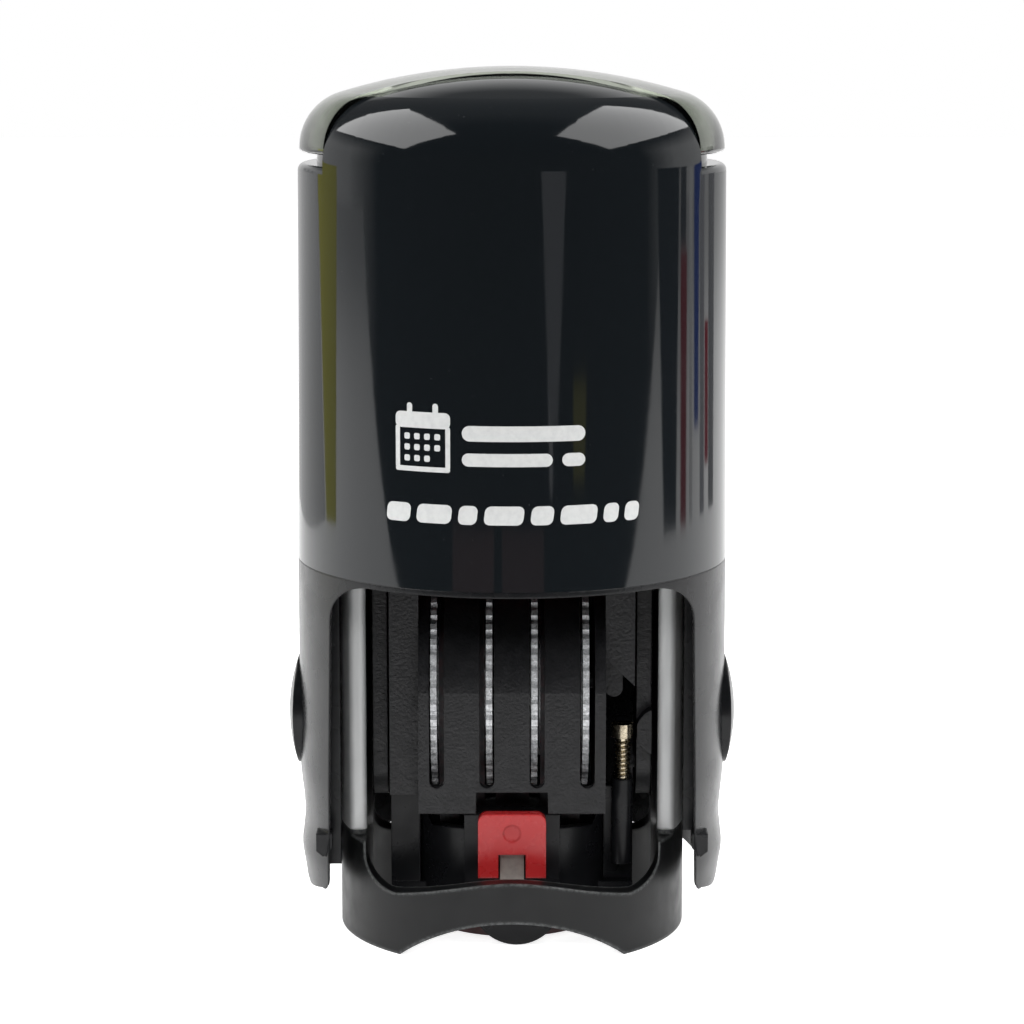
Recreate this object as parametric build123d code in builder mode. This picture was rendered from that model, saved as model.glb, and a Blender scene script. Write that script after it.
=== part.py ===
"""Rotary date stamp: a self-inking round dater with a 17 mm imprint, held pressed down.

Origin at the centre of the base ring's bottom, +Z up, front (date wheels and red catch) towards -Y.
At rest the cap is pushed fully down: the setting wheels point up and the print face points down.
"""
from build123d import *
from math import atan2, cos, pi, sin, sqrt
import os

os.makedirs("parts", exist_ok=True)

# Cap envelope
CROWN_RADIUS = 52.0        # long arc over the top, on the cap, its cover and its deck
SHELL_R_TOP = 18.75        # outer radius at the side rims
SHELL_R_PART = 19.1        # outer radius at the parting line
SHELL_WALL = 1.3
RIM_Z = 68.4               # side rims below the cover
PARTING_Z = 33.6           # line between shell and skirt
TONGUE_CROWN_Z = 76.35     # top of the front and back tongues
TONGUE_CORNER = 6.0
SEAM_R = 36.4              # plan radius of the seams between tongues and cover
SEAM_CENTRE_Y = 42.4       # their centres, in front and behind
SEAM_GAP = 0.12
COVER_R = 18.6
COVER_CROWN_Z = 76.7
COVER_CORNER = 5.0
COVER_Z0 = 69.4            # lower ends of the cover
NECK_R = 17.1
DECK_CROWN_Z = 74.6
NECK_CORNER = 4.5
DECK_WALL = 1.3
BORE_TOP_Z = 66.5          # top of the shell's wide bore, where the neck begins

# Skirt
SKIRT_Z0 = 4.9             # bottom edge at the back
WING_Z0 = 3.85             # bottom of the side wings
WING_ARC_R = 31.5
TIP_R = 0.7                # rounding of the wings' front corners, and its centre height
TIP_Z = 5.5
SKIRT_CUT_Z = 3.4          # where the profile ends before its lower edge is cut to shape
WINDOW_TOP_Z = 33.1
WINDOW_HALF_TOP = 15.6
WINDOW_HALF_LOW = 16.2
WINDOW_CORNER = 3.5
SKIRT_BORE_R = 17.9
SPIGOT_R = 17.55
SPIGOT_TOP_Z = 39.0
RIB_X = (15.2, 17.7)
RIB_Y = 5.0
RIB_WIDTH = 1.6
RIB_Z0_LEFT = 6.4
RIB_Z0_RIGHT = 9.5

# Lock buttons
BUTTON_Z = 19.3
BUTTON_HALF_Y = 3.8
BUTTON_HALF_Z = 4.9
BUTTON_TIP_X = 20.05
BUTTON_DOME_R = 14.6
BUTTON_GAP = 0.2

# Base
BASE_R = 15.5
BASE_WALL = 1.5
RING_TOP_Z = 9.2
ARCH_TOP_Z = 3.8
ARCH_HALF = 9.8
COLUMN_IN = 12.9           # inner face of each guide column
COLUMN_HALF = 6.0
COLUMN_TOP_Z = 62.0
TRIM_WALL = 0.4
TRIM_Z = (9.6, 56.0)

# Ink pad, between the columns
PAD_HOLDER_Z0 = 54.2
PAD_HOLDER_R = 14.4
CARTRIDGE_R = 10.3
PAD_R = 9.3
PAD_FACE_Z = 54.4

# Yoke, pivot and travel
PIVOT_Z = 15.0
PIVOT_PIN_R = 1.2
RUN_FIT = 0.05             # radial clearance of a turning fit
YOKE_X = (11.1, 12.4)
YOKE_HALF = 3.5
YOKE_TOP_Z = 71.2
YOKE_PLATE = 1.5
YOKE_SCREW_X = 9.0
SCREW_R = 0.8

# Date block
WHEEL_Z = 22.2
WHEEL_R = 9.7
TOOTH_DEPTH = 0.38
TOOTH_COUNT = 42
DISC_THICK = 0.55
DRUM_R = 7.0
AXLE_R = 1.05
BAND_THICK = 1.0
BAND_PLAY = 0.2            # between drum and band
NOSE_Z = 2.6
NOSE_R = 1.2
CAGE_HALF_X = 8.2
CAGE_HALF_Y = 9.5
CAGE_WALL = 0.9
CAGE_Z0 = 12.0
CAGE_TOP_R = 9.52
CAGE_LEG_HALF = 3.2
SLOT_WIDTH = 1.3
SLOT_Z0 = 14.3
SLOT_X = (-6.6, -2.2, 2.2, 6.6)
HOLDER_R = 8.9
HOLDER_Z = (1.6, 4.4)
DIE_R = 7.8
DIE_FACE_Z = 0.3
PLATE_X = (9.4, 10.8)
PANEL_Y = (-7.2, -5.6)     # recessed panels on both sides of the cage's face
PANEL_Z = (13.1, 31.6)
APRON_WALL = 0.9
APRON_BACK = 3.6           # how far in front of the axis the apron's ends are
APRON_TOP_Z = 9.9
APRON_CORNER_Z = 11.3

# Catch and screw on the date block
CATCH_HALF = 2.98
CATCH_Z = (6.4, 12.15)
CATCH_Y = (-10.3, -9.1)
NOTCH_HALF = 1.2
NOTCH_TOP_Z = 8.5
SCREW_AT = (9.8, -5.0)
SCREW_HEAD_Z = (17.85, 19.1)
POST_TOP_Z = 14.1


def dome_section(radius, crown_z, corner, floor_z, floor_radius):
    """Half-section of a crowned round body: crown arc, corner arc, side, floor and axis."""
    centre_z = crown_z - CROWN_RADIUS
    side_z = centre_z + sqrt((CROWN_RADIUS - corner) ** 2 - (radius - corner) ** 2)
    lean = atan2(side_z - centre_z, radius - corner)
    half = (lean + pi / 2) / 2
    meet = (CROWN_RADIUS * cos(lean), centre_z + CROWN_RADIUS * sin(lean))
    crown_mid = (CROWN_RADIUS * cos(half), centre_z + CROWN_RADIUS * sin(half))
    corner_mid = (radius - corner + corner * cos(lean / 2), side_z + corner * sin(lean / 2))
    with BuildLine() as outline:
        ThreePointArc((0, crown_z), crown_mid, meet)
        ThreePointArc(meet, corner_mid, (radius, side_z))
        Polyline((radius, side_z), (floor_radius, floor_z), (0, floor_z), (0, crown_z))
    make_face(outline.edges())


def seat_plan(seam_radius):
    """Plan of the cover's seat: a strip across the top, waisted by the two tongues."""
    Rectangle(3 * SHELL_R_TOP, 40)
    for side in (-1, 1):
        with Locations((0, side * SEAM_CENTRE_Y)):
            Circle(seam_radius, mode=Mode.SUBTRACT)


def block(x, y, z, mode=Mode.ADD):
    """A box between two x, two y and two z values."""
    centre = ((x[0] + x[1]) / 2, (y[0] + y[1]) / 2, (z[0] + z[1]) / 2)
    with Locations(centre):
        Box(x[1] - x[0], y[1] - y[0], z[1] - z[0], mode=mode)


def sided(side, span):
    """An x span on the right (side 1) or mirrored to the left (side -1)."""
    return tuple(sorted((side * span[0], side * span[1])))


# ---- Cap -------------------------------------------------------------------------------------

with BuildPart() as cap_shell:
    with BuildSketch(Plane.XZ):
        dome_section(SHELL_R_TOP, TONGUE_CROWN_Z, TONGUE_CORNER, PARTING_Z, SHELL_R_PART)
    revolve(axis=Axis.Z)
    with BuildSketch(Plane.XY.offset(RIM_Z)):
        seat_plan(SEAM_R)
    extrude(amount=SHELL_R_TOP, mode=Mode.SUBTRACT)
    rims = cap_shell.edges().filter_by(GeomType.CIRCLE).filter_by_position(Axis.Z, RIM_Z, RIM_Z)
    fillet(rims.filter_by(lambda rim: rim.radius < SEAM_R / 1.5), radius=0.6)
    # neck and deck under the cover
    with BuildSketch(Plane.XZ):
        dome_section(NECK_R, DECK_CROWN_Z, NECK_CORNER, RIM_Z - 1, NECK_R)
    revolve(axis=Axis.Z)
    # hollow inside: a wide drafted bore, then the domed space under the deck
    with BuildSketch(Plane.XZ):
        Polygon((0, PARTING_Z), (SHELL_R_PART - SHELL_WALL, PARTING_Z),
                (SHELL_R_TOP - SHELL_WALL, BORE_TOP_Z), (0, BORE_TOP_Z), align=None)
    revolve(axis=Axis.Z, mode=Mode.SUBTRACT)
    with BuildSketch(Plane.XZ):
        dome_section(NECK_R - DECK_WALL, DECK_CROWN_Z - DECK_WALL, NECK_CORNER - DECK_WALL,
                     BORE_TOP_Z - 1, NECK_R - DECK_WALL)
    revolve(axis=Axis.Z, mode=Mode.SUBTRACT)
    # bosses for the yoke's screws
    with BuildSketch(Plane.XY.offset(YOKE_TOP_Z)):
        with GridLocations(2 * YOKE_SCREW_X, 0, 2, 1):
            Circle(2.2)
    extrude(amount=2.0)
    with BuildSketch(Plane.XY.offset(YOKE_TOP_Z)):
        with GridLocations(2 * YOKE_SCREW_X, 0, 2, 1):
            Circle(SCREW_R)
    extrude(amount=1.6, mode=Mode.SUBTRACT)
cap_shell.part.label = "cap_shell"
export_step(cap_shell.part, "parts/cap_shell.step")

with BuildPart() as cap_skirt:
    with BuildSketch(Plane.XZ):
        with BuildLine():
            Line((SHELL_R_PART, PARTING_Z), (SHELL_R_PART, 15.5))
            Spline((SHELL_R_PART, 15.5), (18.75, 9.6), (18.98, 7.4), (18.7, 5.4), (18.1, SKIRT_CUT_Z),
                   tangents=((0, -1), (-1, -1)))
            Polyline((18.1, SKIRT_CUT_Z), (SKIRT_BORE_R, SKIRT_CUT_Z), (SKIRT_BORE_R, PARTING_Z - 1.2),
                     (SPIGOT_R - 1.0, PARTING_Z), (SPIGOT_R - 1.0, SPIGOT_TOP_Z),
                     (SPIGOT_R, SPIGOT_TOP_Z), (SPIGOT_R, PARTING_Z), (SHELL_R_PART, PARTING_Z))
        make_face()
    revolve(axis=Axis.Z)
    # front window; the back stays closed
    with BuildSketch(Plane.XZ):
        Polygon((-WINDOW_HALF_LOW, 0), (WINDOW_HALF_LOW, 0), (WINDOW_HALF_TOP, WINDOW_TOP_Z),
                (-WINDOW_HALF_TOP, WINDOW_TOP_Z), align=None)
        top_corners = vertices().group_by(Axis.Y)[-1]
        fillet(top_corners, radius=WINDOW_CORNER)
    extrude(amount=30, mode=Mode.SUBTRACT)
    # lower edge: level at the back, dipping into rounded wings at the sides
    with BuildSketch(Plane.YZ):
        with Locations((0, SKIRT_Z0 - 5)):
            Rectangle(50, 10)
        with Locations((0, WING_Z0 + WING_ARC_R)):
            Circle(WING_ARC_R, mode=Mode.SUBTRACT)
    extrude(amount=30, both=True, mode=Mode.SUBTRACT)
    # rounded front corners of the wings
    with BuildSketch(Plane.XZ.offset(5)):
        for side in (-1, 1):
            with Locations((side * (WINDOW_HALF_LOW + TIP_R / 2 - 0.1), TIP_Z - 1.5)):
                Rectangle(TIP_R + 0.2, 3.0)
            with Locations((side * (WINDOW_HALF_LOW + TIP_R), TIP_Z)):
                Circle(TIP_R, mode=Mode.SUBTRACT)
    extrude(amount=20, mode=Mode.SUBTRACT)
    # guide ribs that run along the base's columns
    for side, low_z in ((-1, RIB_Z0_LEFT), (1, RIB_Z0_RIGHT)):
        for rib_y in (-RIB_Y, RIB_Y):
            block(sided(side, RIB_X), (rib_y - RIB_WIDTH / 2, rib_y + RIB_WIDTH / 2),
                  (low_z, PARTING_Z - 0.6))
    # holes for the lock buttons, and the thumb dimples below them
    for side in (-1, 1):
        with BuildSketch(Plane.YZ.offset(side * SKIRT_BORE_R - 3)):
            with Locations((0, BUTTON_Z)):
                Ellipse(BUTTON_HALF_Y + BUTTON_GAP, BUTTON_HALF_Z + BUTTON_GAP)
        extrude(amount=6, mode=Mode.SUBTRACT)
        with BuildSketch(Plane.YZ.offset(side * 19.45 - 1)):
            with Locations((0, 8.05)):
                Ellipse(1.6, 1.35)
        extrude(amount=2, mode=Mode.SUBTRACT)
    # small hooks on the wings' front edges
    with BuildSketch(Plane.XZ.offset(7.6)):
        hook = Polygon((15.8, 10.2), (17.2, 10.2), (17.2, 8.6), (16.6, 8.1), (15.8, 8.9), align=None)
        mirror(hook, about=Plane.YZ)
    extrude(amount=1.9)
cap_skirt.part.label = "cap_skirt"
export_step(cap_skirt.part, "parts/cap_skirt.step")

with BuildPart() as top_cover:
    with BuildSketch(Plane.XZ):
        dome_section(COVER_R, COVER_CROWN_Z, COVER_CORNER, COVER_Z0, COVER_R)
    revolve(axis=Axis.Z)
    with BuildSketch(Plane.XZ):
        dome_section(NECK_R + 0.2, DECK_CROWN_Z + 0.3, NECK_CORNER, COVER_Z0 - 1, NECK_R + 0.2)
    revolve(axis=Axis.Z, mode=Mode.SUBTRACT)
    with BuildSketch(Plane.XY.offset(COVER_Z0)):
        seat_plan(SEAM_R + SEAM_GAP)
    extrude(amount=COVER_R, mode=Mode.INTERSECT)
    ends = top_cover.edges().filter_by(GeomType.CIRCLE).group_by(Axis.Z)[0]
    fillet(ends.filter_by(lambda end: end.radius < SEAM_R / 1.5), radius=0.35)
top_cover.part.label = "top_cover"
export_step(top_cover.part, "parts/top_cover.step")

with BuildPart() as index_card:
    with BuildSketch(Plane.XZ):
        dome_section(NECK_R, DECK_CROWN_Z + 0.22, NECK_CORNER, RIM_Z, NECK_R)
    revolve(axis=Axis.Z)
    with BuildSketch(Plane.XZ):
        dome_section(NECK_R, DECK_CROWN_Z + 0.04, NECK_CORNER, RIM_Z - 1, NECK_R)
    revolve(axis=Axis.Z, mode=Mode.SUBTRACT)
    with BuildSketch(Plane.XY.offset(RIM_Z)):
        Rectangle(24, 11)
    extrude(amount=10, mode=Mode.INTERSECT)
index_card.part.label = "index_card"
export_step(index_card.part, "parts/index_card.step")

with BuildPart() as yoke:
    for side in (-1, 1):
        arm_x = sided(side, YOKE_X)
        with BuildSketch(Plane.YZ.offset(arm_x[0])):
            with Locations((0, PIVOT_Z)):
                Circle(YOKE_HALF)
            with Locations((0, (PIVOT_Z + YOKE_TOP_Z) / 2)):
                Rectangle(2 * YOKE_HALF, YOKE_TOP_Z - PIVOT_Z)
            with Locations((0, PIVOT_Z)):
                Circle(PIVOT_PIN_R, mode=Mode.SUBTRACT)
        extrude(amount=YOKE_X[1] - YOKE_X[0])
    # rounded stop on the front of the right arm
    with BuildSketch(Plane.XZ.offset(YOKE_HALF - 0.5)):
        with Locations((13.15, 18.25)):
            Circle(2.15)
        with Locations(((YOKE_X[0] + YOKE_X[1]) / 2, 18.25)):
            Rectangle(YOKE_X[1] - YOKE_X[0], 6, mode=Mode.INTERSECT)
    extrude(amount=2.0)
    with BuildSketch(Plane.XY.offset(YOKE_TOP_Z - YOKE_PLATE)):
        Rectangle(2 * YOKE_X[1], 2 * YOKE_HALF)
        with GridLocations(2 * YOKE_SCREW_X, 0, 2, 1):
            Circle(SCREW_R, mode=Mode.SUBTRACT)
    extrude(amount=YOKE_PLATE)
yoke.part.label = "yoke"
export_step(yoke.part, "parts/yoke.step")

with BuildPart() as yoke_screws:
    head_z = YOKE_TOP_Z - YOKE_PLATE - 0.9
    with BuildSketch(Plane.XY.offset(head_z)):
        with GridLocations(2 * YOKE_SCREW_X, 0, 2, 1):
            Circle(1.5)
    extrude(amount=0.9)
    with BuildSketch(Plane.XY.offset(head_z + 0.9)):
        with GridLocations(2 * YOKE_SCREW_X, 0, 2, 1):
            Circle(SCREW_R)
    extrude(amount=YOKE_PLATE + 1.6)
    with BuildSketch(Plane.XY.offset(head_z)):
        with GridLocations(2 * YOKE_SCREW_X, 0, 2, 1):
            Rectangle(2.0, 0.35)
            Rectangle(0.35, 2.0)
    extrude(amount=0.5, mode=Mode.SUBTRACT)
yoke_screws.part.label = "yoke_screws"
export_step(yoke_screws.part, "parts/yoke_screws.step")

for side, name in ((-1, "pivot_pin_left"), (1, "pivot_pin_right")):
    pin_x = sided(side, (PLATE_X[0], YOKE_X[1]))
    with BuildPart() as pivot_pin:
        with BuildSketch(Plane.YZ.offset(pin_x[0])):
            with Locations((0, PIVOT_Z)):
                Circle(PIVOT_PIN_R)
        extrude(amount=pin_x[1] - pin_x[0])
    pivot_pin.part.label = name
    export_step(pivot_pin.part, f"parts/{name}.step")

for side, name in ((-1, "lock_button_left"), (1, "lock_button_right")):
    with BuildPart() as lock_button:
        plug_x = sided(side, (16.9, BUTTON_TIP_X))
        with BuildSketch(Plane.YZ.offset(plug_x[0])):
            with Locations((0, BUTTON_Z)):
                Ellipse(BUTTON_HALF_Y, BUTTON_HALF_Z)
        extrude(amount=plug_x[1] - plug_x[0])
        with Locations((side * (BUTTON_TIP_X - BUTTON_DOME_R), 0, BUTTON_Z)):
            Sphere(BUTTON_DOME_R, mode=Mode.INTERSECT)
        flange_x = sided(side, (16.65, 17.2))
        with BuildSketch(Plane.YZ.offset(flange_x[0])):
            with Locations((0, BUTTON_Z)):
                RectangleRounded(2 * 4.15, 2 * 5.8, 2.0)
        extrude(amount=flange_x[1] - flange_x[0])
    lock_button.part.label = name
    export_step(lock_button.part, f"parts/{name}.step")

# ---- Base ------------------------------------------------------------------------------------


def column_section(side, inset):
    """Plan of a guide column: the outer ring's arc, cut square on the inside, corners rounded."""
    Circle(BASE_R - inset)
    with Locations((side * (COLUMN_IN + BASE_R) / 2, 0)):
        Rectangle(BASE_R - COLUMN_IN, 2 * (COLUMN_HALF - inset), mode=Mode.INTERSECT)
    fillet(vertices(), radius=0.6 - inset / 2)


with BuildPart() as base_frame:
    with BuildSketch():
        Circle(BASE_R)
        Circle(BASE_R - BASE_WALL, mode=Mode.SUBTRACT)
    extrude(amount=RING_TOP_Z)
    # U-shaped rims, front and back
    with BuildSketch(Plane.XZ):
        with BuildLine():
            Polyline((-COLUMN_IN, 7.9), (-COLUMN_IN, 12), (COLUMN_IN, 12), (COLUMN_IN, 7.9))
            ThreePointArc((COLUMN_IN, 7.9), (12.1, 6.2), (10.2, 5.45))
            Spline((10.2, 5.45), (5.2, 6.65), (0, 7.4), (-5.2, 6.65), (-10.2, 5.45))
            ThreePointArc((-10.2, 5.45), (-12.1, 6.2), (-COLUMN_IN, 7.9))
        make_face()
    extrude(amount=20, both=True, mode=Mode.SUBTRACT)
    # sight arches between the feet
    arch_r = (ARCH_HALF ** 2 + ARCH_TOP_Z ** 2) / (2 * ARCH_TOP_Z)
    with BuildSketch(Plane.XZ):
        with Locations((0, ARCH_TOP_Z - arch_r)):
            Circle(arch_r)
    extrude(amount=20, both=True, mode=Mode.SUBTRACT)
    for side in (-1, 1):
        with BuildSketch():
            column_section(side, 0)
        extrude(amount=TRIM_Z[0])
        with BuildSketch():
            column_section(side, TRIM_WALL)
        extrude(amount=COLUMN_TOP_Z)
base_frame.part.label = "base_frame"
export_step(base_frame.part, "parts/base_frame.step")

for side, name in ((-1, "column_trim_left"), (1, "column_trim_right")):
    with BuildPart() as column_trim:
        with BuildSketch(Plane.XY.offset(TRIM_Z[0])):
            column_section(side, 0)
        extrude(amount=TRIM_Z[1] - TRIM_Z[0])
        with BuildSketch(Plane.XY.offset(TRIM_Z[0])):
            column_section(side, TRIM_WALL)
        extrude(amount=TRIM_Z[1] - TRIM_Z[0], mode=Mode.SUBTRACT)
    column_trim.part.label = name
    export_step(column_trim.part, f"parts/{name}.step")

with BuildPart() as pad_holder:
    with BuildSketch(Plane.XY.offset(PAD_HOLDER_Z0)):
        Circle(PAD_HOLDER_R)
        for side in (-1, 1):
            with Locations((side * 12.9, 0)):
                Rectangle(4.2, 7.6, mode=Mode.SUBTRACT)
            with Locations((side * (COLUMN_IN + 1), 0)):
                Rectangle(2, 2 * COLUMN_HALF + 0.1, mode=Mode.SUBTRACT)
    extrude(amount=COLUMN_TOP_Z - PAD_HOLDER_Z0)
    with BuildSketch(Plane.XY.offset(PAD_HOLDER_Z0)):
        Circle(CARTRIDGE_R + 0.1)
    extrude(amount=5.0, mode=Mode.SUBTRACT)
    with BuildSketch(Plane.XY.offset(COLUMN_TOP_Z)):
        Circle(3.9)
    extrude(amount=2.5)
pad_holder.part.label = "pad_holder"
export_step(pad_holder.part, "parts/pad_holder.step")

with BuildPart() as pad_cartridge:
    with BuildSketch(Plane.XY.offset(PAD_HOLDER_Z0)):
        Circle(CARTRIDGE_R)
    extrude(amount=5.0)
    with BuildSketch(Plane.XY.offset(PAD_HOLDER_Z0)):
        Circle(PAD_R)
    extrude(amount=3.4, mode=Mode.SUBTRACT)
pad_cartridge.part.label = "pad_cartridge"
export_step(pad_cartridge.part, "parts/pad_cartridge.step")

with BuildPart() as ink_pad:
    with BuildSketch(Plane.XY.offset(PAD_FACE_Z)):
        Circle(PAD_R)
    extrude(amount=PAD_HOLDER_Z0 + 3.4 - PAD_FACE_Z)
ink_pad.part.label = "ink_pad"
export_step(ink_pad.part, "parts/ink_pad.step")

SPRING_R = 5.0
SPRING_WIRE = 0.4
SPRING_TURNS = 6
SPRING_SPAN = YOKE_TOP_Z - YOKE_PLATE - COLUMN_TOP_Z - 2 * SPRING_WIRE - 0.1
with BuildPart() as return_spring:
    with BuildLine() as spring_path:
        Helix(pitch=SPRING_SPAN / SPRING_TURNS, height=SPRING_SPAN, radius=SPRING_R,
              center=(0, 0, COLUMN_TOP_Z + SPRING_WIRE + 0.05))
    with BuildSketch(Plane(origin=spring_path.line @ 0, z_dir=spring_path.line % 0)):
        Circle(SPRING_WIRE)
    sweep(is_frenet=True)
return_spring.part.label = "return_spring"
export_step(return_spring.part, "parts/return_spring.step")

# ---- Date block ------------------------------------------------------------------------------

with BuildPart() as die_holder:
    with BuildSketch(Plane.XY.offset(HOLDER_Z[0])):
        Circle(HOLDER_R)
    extrude(amount=HOLDER_Z[1] - HOLDER_Z[0])
    block((-PLATE_X[1], PLATE_X[1]), (-4.5, 4.5), (HOLDER_Z[1] - 1.4, HOLDER_Z[1]))
    # window for the date bands
    block((-7.1, 7.1), (-3.4, 3.4), (0, 6), mode=Mode.SUBTRACT)
    # rounded lip at the front, seen under the sight arch
    with BuildSketch(Plane.XZ.offset(DIE_R + 0.1)):
        with Locations((0.4, 4.0)):
            Circle(3.95)
        with Locations((0, 1.65)):
            Rectangle(8.6, 3.3, mode=Mode.INTERSECT)
    extrude(amount=1.5)
    # apron round the front, its corners turned up towards the cage
    with BuildSketch(Plane.XY.offset(HOLDER_Z[1] - 0.5)):
        Circle(HOLDER_R)
        Circle(HOLDER_R - APRON_WALL, mode=Mode.SUBTRACT)
        with Locations((0, -HOLDER_R)):
            Rectangle(2 * HOLDER_R, 2 * (HOLDER_R - APRON_BACK), mode=Mode.INTERSECT)
    extrude(amount=APRON_CORNER_Z - HOLDER_Z[1] + 0.5)
    with BuildSketch(Plane.XZ.offset(2)):
        with BuildLine():
            Polyline((7.9, APRON_CORNER_Z + 1), (7.9, APRON_CORNER_Z), (7.1, APRON_TOP_Z))
            Spline((7.1, APRON_TOP_Z), (0, APRON_TOP_Z + 0.5), (-7.1, APRON_TOP_Z))
            Polyline((-7.1, APRON_TOP_Z), (-7.9, APRON_CORNER_Z), (-7.9, APRON_CORNER_Z + 1),
                     (7.9, APRON_CORNER_Z + 1))
        make_face()
    extrude(amount=10, mode=Mode.SUBTRACT)
    # block that the catch slides on
    block((-4.2, 4.2), (-9.0, -6.0), (HOLDER_Z[0] + 1, CAGE_Z0 - 0.2))
die_holder.part.label = "die_holder"
export_step(die_holder.part, "parts/die_holder.step")

with BuildPart() as text_die:
    with BuildSketch(Plane.XY.offset(DIE_FACE_Z + 0.6)):
        Circle(DIE_R)
    extrude(amount=HOLDER_Z[0] - DIE_FACE_Z - 0.6)
    # raised border and two plain rows above and below the date
    with BuildSketch(Plane.XY.offset(DIE_FACE_Z)):
        Circle(DIE_R)
        Circle(DIE_R - 0.6, mode=Mode.SUBTRACT)
        with GridLocations(0, 7.6, 1, 2):
            Rectangle(9.0, 0.9)
        with GridLocations(0, 11.2, 1, 2):
            Rectangle(6.0, 0.9)
    extrude(amount=0.6)
    block((-6.9, 6.9), (-2.5, 2.5), (0, 2), mode=Mode.SUBTRACT)
text_die.part.label = "text_die"
export_step(text_die.part, "parts/text_die.step")


def cage_outline(half_y, top_r, low_z):
    """Side view of the wheel cage: straight sides and a round top about the wheel axle."""
    with Locations((0, WHEEL_Z)):
        Circle(top_r)
    with Locations((0, (low_z + WHEEL_Z) / 2)):
        Rectangle(2 * top_r, WHEEL_Z - low_z)
    with Locations((0, low_z + 15)):
        Rectangle(2 * half_y, 30, mode=Mode.INTERSECT)


with BuildPart() as band_cage:
    with BuildSketch(Plane.YZ.offset(-CAGE_HALF_X)):
        cage_outline(CAGE_HALF_Y, CAGE_TOP_R, CAGE_Z0)
    extrude(amount=2 * CAGE_HALF_X)
    block((-CAGE_HALF_X, CAGE_HALF_X), (-CAGE_LEG_HALF, CAGE_LEG_HALF), (HOLDER_Z[1], CAGE_Z0))
    # recessed panels: a long one on the left, one with a slanted lower edge on the right
    block((-PLATE_X[1], -CAGE_HALF_X), PANEL_Y, PANEL_Z)
    with BuildSketch(Plane.XZ.offset(-PANEL_Y[1])):
        Polygon((CAGE_HALF_X, 25.4), (PLATE_X[1], 22.9), (PLATE_X[1], PANEL_Z[1]), (CAGE_HALF_X, PANEL_Z[1]),
                align=None)
    extrude(amount=PANEL_Y[1] - PANEL_Y[0])
    cage_inside = CAGE_HALF_X - CAGE_WALL
    with BuildSketch(Plane.YZ.offset(-cage_inside)):
        cage_outline(CAGE_HALF_Y - CAGE_WALL, CAGE_HALF_Y - CAGE_WALL, HOLDER_Z[1] - 1)
    extrude(amount=2 * cage_inside, mode=Mode.SUBTRACT)
    # slots that the serrated wheel rims show through
    for slot_x in SLOT_X:
        with BuildSketch(Plane.XZ):
            with Locations((slot_x, SLOT_Z0 + SLOT_WIDTH / 2)):
                Circle(SLOT_WIDTH / 2)
            with Locations((slot_x, SLOT_Z0 + SLOT_WIDTH / 2 + 12)):
                Rectangle(SLOT_WIDTH, 24)
        extrude(amount=15, both=True, mode=Mode.SUBTRACT)
    # recess that the catch rises into
    block((-3.15, 3.15), (-CAGE_HALF_Y - 1, -8.2), (CAGE_Z0 - 1, 13.9), mode=Mode.SUBTRACT)
    with BuildSketch(Plane.YZ.offset(-CAGE_HALF_X)):
        with Locations((0, WHEEL_Z)):
            Circle(AXLE_R)
    extrude(amount=2 * CAGE_HALF_X, mode=Mode.SUBTRACT)
band_cage.part.label = "band_cage"
export_step(band_cage.part, "parts/band_cage.step")

with BuildPart() as band_nose:
    with BuildSketch(Plane.YZ.offset(-6.9)):
        with Locations((0, NOSE_Z)):
            Circle(NOSE_R)
        with Locations((0, (NOSE_Z + 9) / 2)):
            Rectangle(2 * NOSE_R, 9 - NOSE_Z)
    extrude(amount=2 * 6.9)
    block((-cage_inside, cage_inside), (-NOSE_R, NOSE_R), (5.2, 9))
band_nose.part.label = "band_nose"
export_step(band_nose.part, "parts/band_nose.step")

with BuildPart() as wheel_axle:
    with BuildSketch(Plane.YZ.offset(-CAGE_HALF_X)):
        with Locations((0, WHEEL_Z)):
            Circle(AXLE_R)
    extrude(amount=2 * CAGE_HALF_X)
wheel_axle.part.label = "wheel_axle"
export_step(wheel_axle.part, "parts/wheel_axle.step")


def rim_points():
    """Outline of a serrated rim: flat-topped teeth with narrower gaps."""
    pitch = 2 * pi / TOOTH_COUNT
    for tooth in range(TOOTH_COUNT):
        for part_of_pitch, radius in ((0.0, WHEEL_R - TOOTH_DEPTH), (0.22, WHEEL_R), (0.62, WHEEL_R),
                                      (0.8, WHEEL_R - TOOTH_DEPTH)):
            turn = (tooth + part_of_pitch) * pitch
            yield (radius * cos(turn), WHEEL_Z + radius * sin(turn))


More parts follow.
